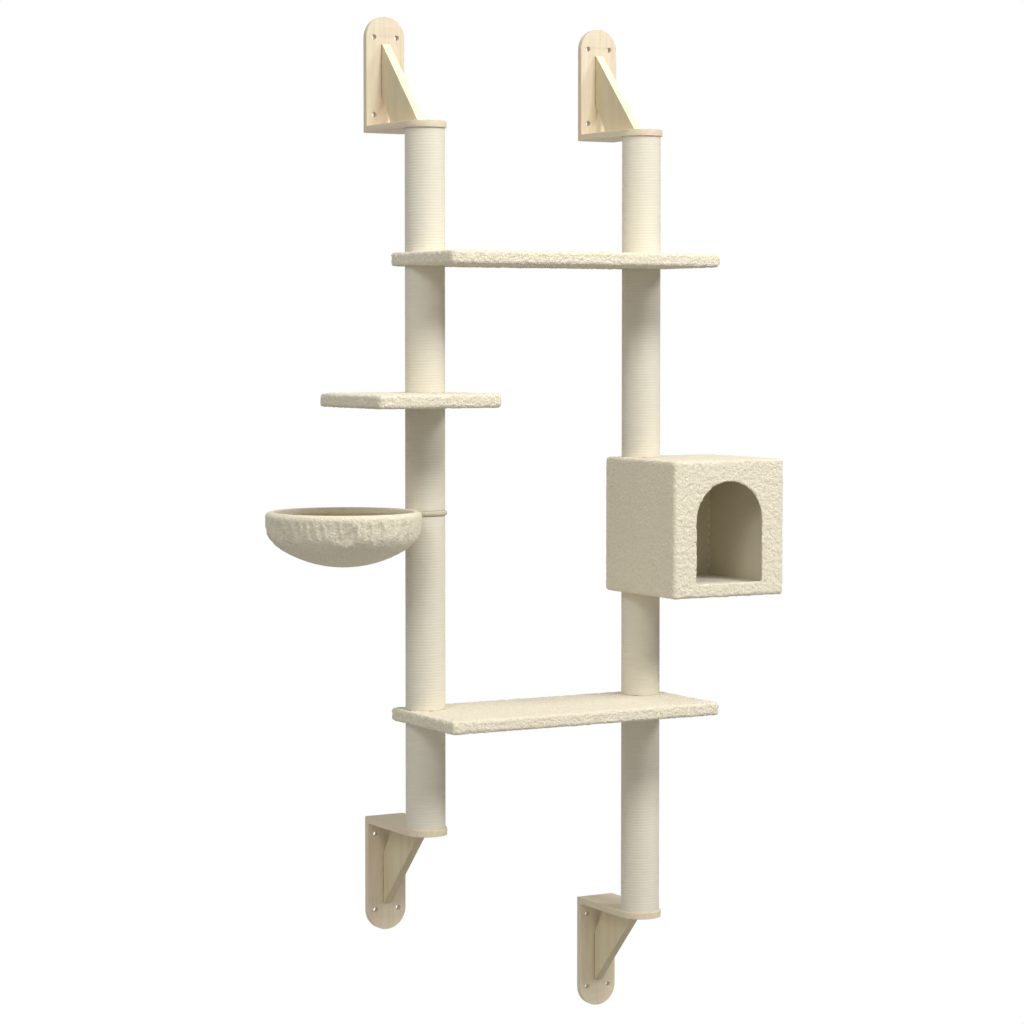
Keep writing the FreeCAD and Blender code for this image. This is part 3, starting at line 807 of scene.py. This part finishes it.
stitch_count, stitch_length, stitch_pitch, thread = 12, 0.0090, 0.0148, 0.0018
seam_inset, first_stitch = 0.0030, 0.022
seam_corner = Vector((lining_high.x - seam_inset, lining_high.y - seam_inset, lining_low.z + first_stitch))
stitch_shape = Matrix.Diagonal((thread, thread, stitch_length / 2, 1))
stitches = bmesh.new()
for i in range(stitch_count):
    sideways, upward = draw_stitch.uniform(-2e-4, 2e-4), draw_stitch.uniform(-1e-3, 1e-3)
    middle = seam_corner + Vector((sideways, 0, i * stitch_pitch + upward))
    bmesh.ops.create_uvsphere(stitches, u_segments=12, v_segments=10, radius=1,
                              matrix=Matrix.Translation(middle) @ stitch_shape)
seam = bpy.data.meshes.new("house_lining_stitches")
stitches.to_mesh(seam)
stitches.free()
seam.shade_smooth()
# The stitches are pale thread, made this bright as painted light showing through the corner seam.
seam_painted_light_thread, tree, sockets = new_material("seam_painted_light_thread", Roughness=0.7, Specular_IOR_Level=0.3)
place = node(tree, "TexCoord").outputs["Object"]
bands = {"Vector": place, "Scale": 260.0, "Distortion": 1.0}
twist = node(tree, "TexWave", bands, bands_direction="DIAGONAL").outputs["Fac"]
tree.links.new(mixed(tree, twist, (0.98, 0.96, 0.88, 1), (0.90, 0.86, 0.75, 1)), sockets["Base Color"])
bumped(tree, sockets, twist, 0.0001)
add_piece("house_lining_stitches", seam, seam_painted_light_thread, "stand", "plush")


# Hammock: a plush bowl gathered onto a padded rim that hides a flat steel hoop, its loose cloth settled by a
# short simulation. The hoop's arm runs through a padded collar to the left post, where it turns on a steel
# bush between two lengths of post.

hoop_low, hoop_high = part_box("hammock_hoop")
swing = math.radians(9)
hoop_z = (hoop_low.z + hoop_high.z) / 2
bowl_radius, rim_roll, bowl_wall = 0.134, 0.009, 0.007
post_radius, bowl_gap = 0.035, 0.005
hoop_reach = post_radius + bowl_gap + bowl_radius
bowl_centre = Vector((-hoop_reach * math.cos(swing), post_y - hoop_reach * math.sin(swing), hoop_z))
bowl_depth, bowl_shoulder = hoop_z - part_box("hammock_bowl")[0].z, 0.070


def bowl_section(inset, count):
    """Reach and height of the wall, from the middle of the base up to the hoop: two tangent arcs."""
    shoulder_x = bowl_radius - bowl_shoulder
    spread = bowl_depth - bowl_shoulder
    rise = (shoulder_x ** 2 - spread ** 2) / (2 * spread)
    tangent = math.atan2(shoulder_x, rise)
    base, shoulder = rise + bowl_depth - inset, bowl_shoulder - inset
    base_run, shoulder_run = base * tangent, shoulder * (math.pi / 2 - tangent)
    section = []
    for i in range(count + 1):
        run = (base_run + shoulder_run) * i / count
        if run <= base_run:
            turn = run / base
            section.append((base * math.sin(turn), rise - base * math.cos(turn)))
        else:
            turn = tangent + (run - base_run) / shoulder
            section.append((shoulder_x + shoulder * math.sin(turn), -shoulder * math.cos(turn)))
    return section


around_bowl = 300
wall_steps = 56
hoop_radius = bowl_radius - rim_roll
outer = bowl_section(0.0, wall_steps)
inner = [point for point in bowl_section(bowl_wall, wall_steps) if point[1] < -0.4 * rim_roll]
rim = [(hoop_radius + rim_roll * math.cos(turn), rim_roll * math.sin(turn))
       for turn in (math.radians(a) for a in range(12, 204, 12))]
section = outer[1:] + rim + list(reversed(inner[1:]))

gather_count, gather_top = 44, 0.002
draw = random.Random(5)
gathers = []
for i in range(gather_count):
    turn = 2 * math.pi * (i + draw.uniform(-0.3, 0.3)) / gather_count
    depth, length = draw.uniform(0.0008, 0.0022), draw.uniform(0.030, 0.055)
    gathers.append((turn, depth, length, draw.uniform(0.0022, 0.0038)))


def swelling(size, share):
    """A size that is full a third of the way along and fades to nothing at both ends."""
    to_full = 27 / 4
    return size * to_full * share * (1 - share) ** 2


def gather_dip(turn, z):
    """How far the thread draws the wall in, at an angle and a height, before the cloth settles."""
    dip = 0.0
    for at, depth, length, half_width in gathers:
        off = abs((turn - at + math.pi) % (2 * math.pi) - math.pi) * bowl_radius
        if off < 3 * half_width:
            share = min(1.0, max(0.0, (-z - gather_top) / length))
            dip += swelling(depth, share) * math.exp(-(off / half_width) ** 2)
    return dip


def bowl_point(reach, height, j):
    """A point of the bowl at one of its steps around."""
    turn = 2 * math.pi * j / around_bowl
    return bowl_centre + Vector((reach * math.cos(turn), reach * math.sin(turn), height))


def ring_faces(shape, low_ring, high_ring):
    """The faces between two rings of points."""
    for j in range(len(low_ring)):
        shape.faces.new((low_ring[j - 1], low_ring[j], high_ring[j], high_ring[j - 1]))


def settled(rings, spare, cap):
    """The rings of cloth after a simulation: cut too long by a share, held along both edges, and moved at
    most by a cap, which is full a third of the way down."""
    strip = bmesh.new()
    made = [[strip.verts.new(point) for point in ring] for ring in rings]
    for low_ring, high_ring in zip(made, made[1:]):
        ring_faces(strip, low_ring, high_ring)
    hung = working_object("gathered_cloth", strip)
    edge, count = around_bowl * 2, len(hung.data.vertices)
    held = hung.vertex_groups.new(name="held")
    held.add([*range(edge), *range(count - edge, count)], 1.0, "REPLACE")
    cloth = hung.modifiers.new("cloth", "CLOTH")
    cloth.settings.vertex_group_mass = "held"
    cloth.settings.shrink_min = -spare
    cloth.settings.mass = 0.1
    cloth.settings.tension_stiffness = cloth.settings.compression_stiffness = 8
    cloth.settings.shear_stiffness = 3
    cloth.settings.bending_stiffness = 0.05
    cloth.settings.effector_weights.gravity = 0
    cloth.collision_settings.use_collision = False
    frames = 20
    for moment in range(1, frames + 1):
        scene.frame_set(moment)
    evaluated = hung.evaluated_get(bpy.context.evaluated_depsgraph_get())
    places = [vertex.co.copy() for vertex in evaluated.data.vertices]
    scene.frame_set(1)
    bpy.data.objects.remove(hung)
    start = [point for ring in rings for point in ring]
    ends = []
    for i, (place, point) in enumerate(zip(places, start)):
        down = 1 - i // around_bowl / (len(rings) - 1)
        move = place - point
        ends.append(point + move * min(1.0, swelling(cap, down) / max(move.length, 1e-9)))
    return [ends[k:k + around_bowl] for k in range(0, len(ends), around_bowl)]


rings = []
for k, (reach, height) in enumerate(section):
    ring = []
    for j in range(around_bowl):
        dip = gather_dip(2 * math.pi * j / around_bowl, height) if k < len(outer) else 0.0
        ring.append(bowl_point(reach - dip, height, j))
    rings.append(ring)
loose_drop, loose_share, loose_cap = 0.062, 0.06, 0.0035
loose_rows = [k for k in range(len(outer) - 1) if section[k][1] > -loose_drop]
rings[loose_rows[0]:loose_rows[-1] + 1] = settled([rings[k] for k in loose_rows], loose_share, loose_cap)

shape = bmesh.new()
made = [[shape.verts.new(point) for point in ring] for ring in rings]
for low_ring, high_ring in zip(made, made[1:]):
    ring_faces(shape, low_ring, high_ring)
for ring, height in ((made[0], outer[0][1]), (made[-1], inner[0][1])):
    centre = shape.verts.new(bowl_centre + Vector((0, 0, height)))
    for j in range(around_bowl):
        shape.faces.new((ring[j], ring[j - 1], centre))
bmesh.ops.recalc_face_normals(shape, faces=shape.faces)
gathered = working_object("bowl", shape)
pile = gathered.vertex_groups.new(name="pile")
least_pile, bowl_tuft = 0.15, 0.0016
pile_foot, foot_fade, pile_top, top_fade = 0.066, 0.02, 0.001, 0.006
for k, (_, height) in enumerate(section):
    below, above = (height + pile_foot) / foot_fade, (-height - pile_top) / top_fade
    share = min(1.0, max(0.0, below)) * min(1.0, max(0.0, above))
    weight = least_pile + (1 - least_pile) * share
    pile.add(list(range(k * around_bowl, (k + 1) * around_bowl)), weight, "REPLACE")
raise_pile(gathered, curl, nub_height, bowl_tuft, "pile")
# The bowl's inside is a darker copy of the cream plush: painted shade.
bowl_lining_painted_shade = plush("bowl_lining_painted_shade", curl, (0.64, 0.575, 0.425, 1), (0.50, 0.43, 0.295, 1), 0.3, 0.0008)
bowl = add_piece("hammock_plush_bowl", finished_mesh(gathered), cream_plush, "hammock", "plush",
                 "hammock_bowl")
bowl.data.materials.append(bowl_lining_painted_shade)
first_inside = (len(outer) + len(rim) // 2) * around_bowl
for face in bowl.data.polygons:
    if min(face.vertices) >= first_inside:
        face.material_index = 1

collar_low, collar_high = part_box("hammock_collar")
collar_radius, neck_half = 0.0385, 0.017
neck_start = math.degrees(math.asin(neck_half / collar_radius))
neck_tuck = 0.004
neck_end = hoop_reach - bowl_radius + neck_tuck
collar_bore, collar_edge, collar_voxel = 0.0103, 0.0038, 0.0015
collar_curl, collar_nub, collar_tuft = 0.004, 0.0006, 0.0004
outline = arc(0, 0, collar_radius, 180 + neck_start, 540 - neck_start, 64)
outline = [(-neck_end, -neck_half), *outline, (-neck_end, neck_half)]
swivel = Matrix.Translation((0, post_y, hoop_z)) @ Matrix.Rotation(swing, 4, "Z")
puffed = working_object("collar", bmesh.new())
collar_depth = collar_high.z - collar_low.z
puffed.data = sawn("collar", [outline, hole(0, 0, collar_bore)], collar_depth, collar_edge, swivel)
remesh(puffed, collar_voxel)
raise_pile(puffed, collar_curl, collar_nub, collar_tuft)
# The collar's plush is a darker copy of the cream plush: painted shade.
collar_plush_painted_shade = plush("collar_plush_painted_shade", curl, (0.68, 0.62, 0.475, 1), (0.50, 0.43, 0.30, 1), 0.3, 0.0008)
collar = add_piece("hammock_plush_collar", finished_mesh(puffed), collar_plush_painted_shade, "hammock", "plush",
                   "hammock_collar")


# What the covers hide: tubes, plugs, studs, cores, panels, the hoop and the bush. Their solids stay as they
# are and only get a finish.

off_white_coat = metal("off_white_coat", (0.85, 0.84, 0.80, 1), 0.4, 0.05)
off_white_coat.node_tree.nodes["Principled BSDF"].inputs["Metallic"].default_value = 0.0
paper_tube = wood(
    "paper_tube", (20, 20, 160), (0.62, 0.52, 0.40, 1), (0.58, 0.47, 0.35, 1), (0.45, 0.36, 0.25, 1))
softwood = wood(
    "softwood", upright_grain, (0.80, 0.68, 0.48, 1), (0.78, 0.62, 0.42, 1), (0.6, 0.44, 0.26, 1))
chipboard = wood(
    "chipboard", (300, 300, 300), (0.70, 0.60, 0.46, 1), (0.62, 0.50, 0.36, 1), (0.45, 0.35, 0.22, 1))
hidden = {
    "_tube_": paper_tube, "_plugs": softwood, "_core": chipboard, "house_": chipboard,
    "hammock_hoop": off_white_coat, "hammock_bush": zinc, "post_studs": zinc,
}
for name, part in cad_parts.items():
    finish = next((made for words, made in hidden.items() if words in name), None)
    if finish and not part.hide_render:
        part.data.materials.clear()
        part.data.materials.append(finish)


scene.view_settings.view_transform = "Standard"
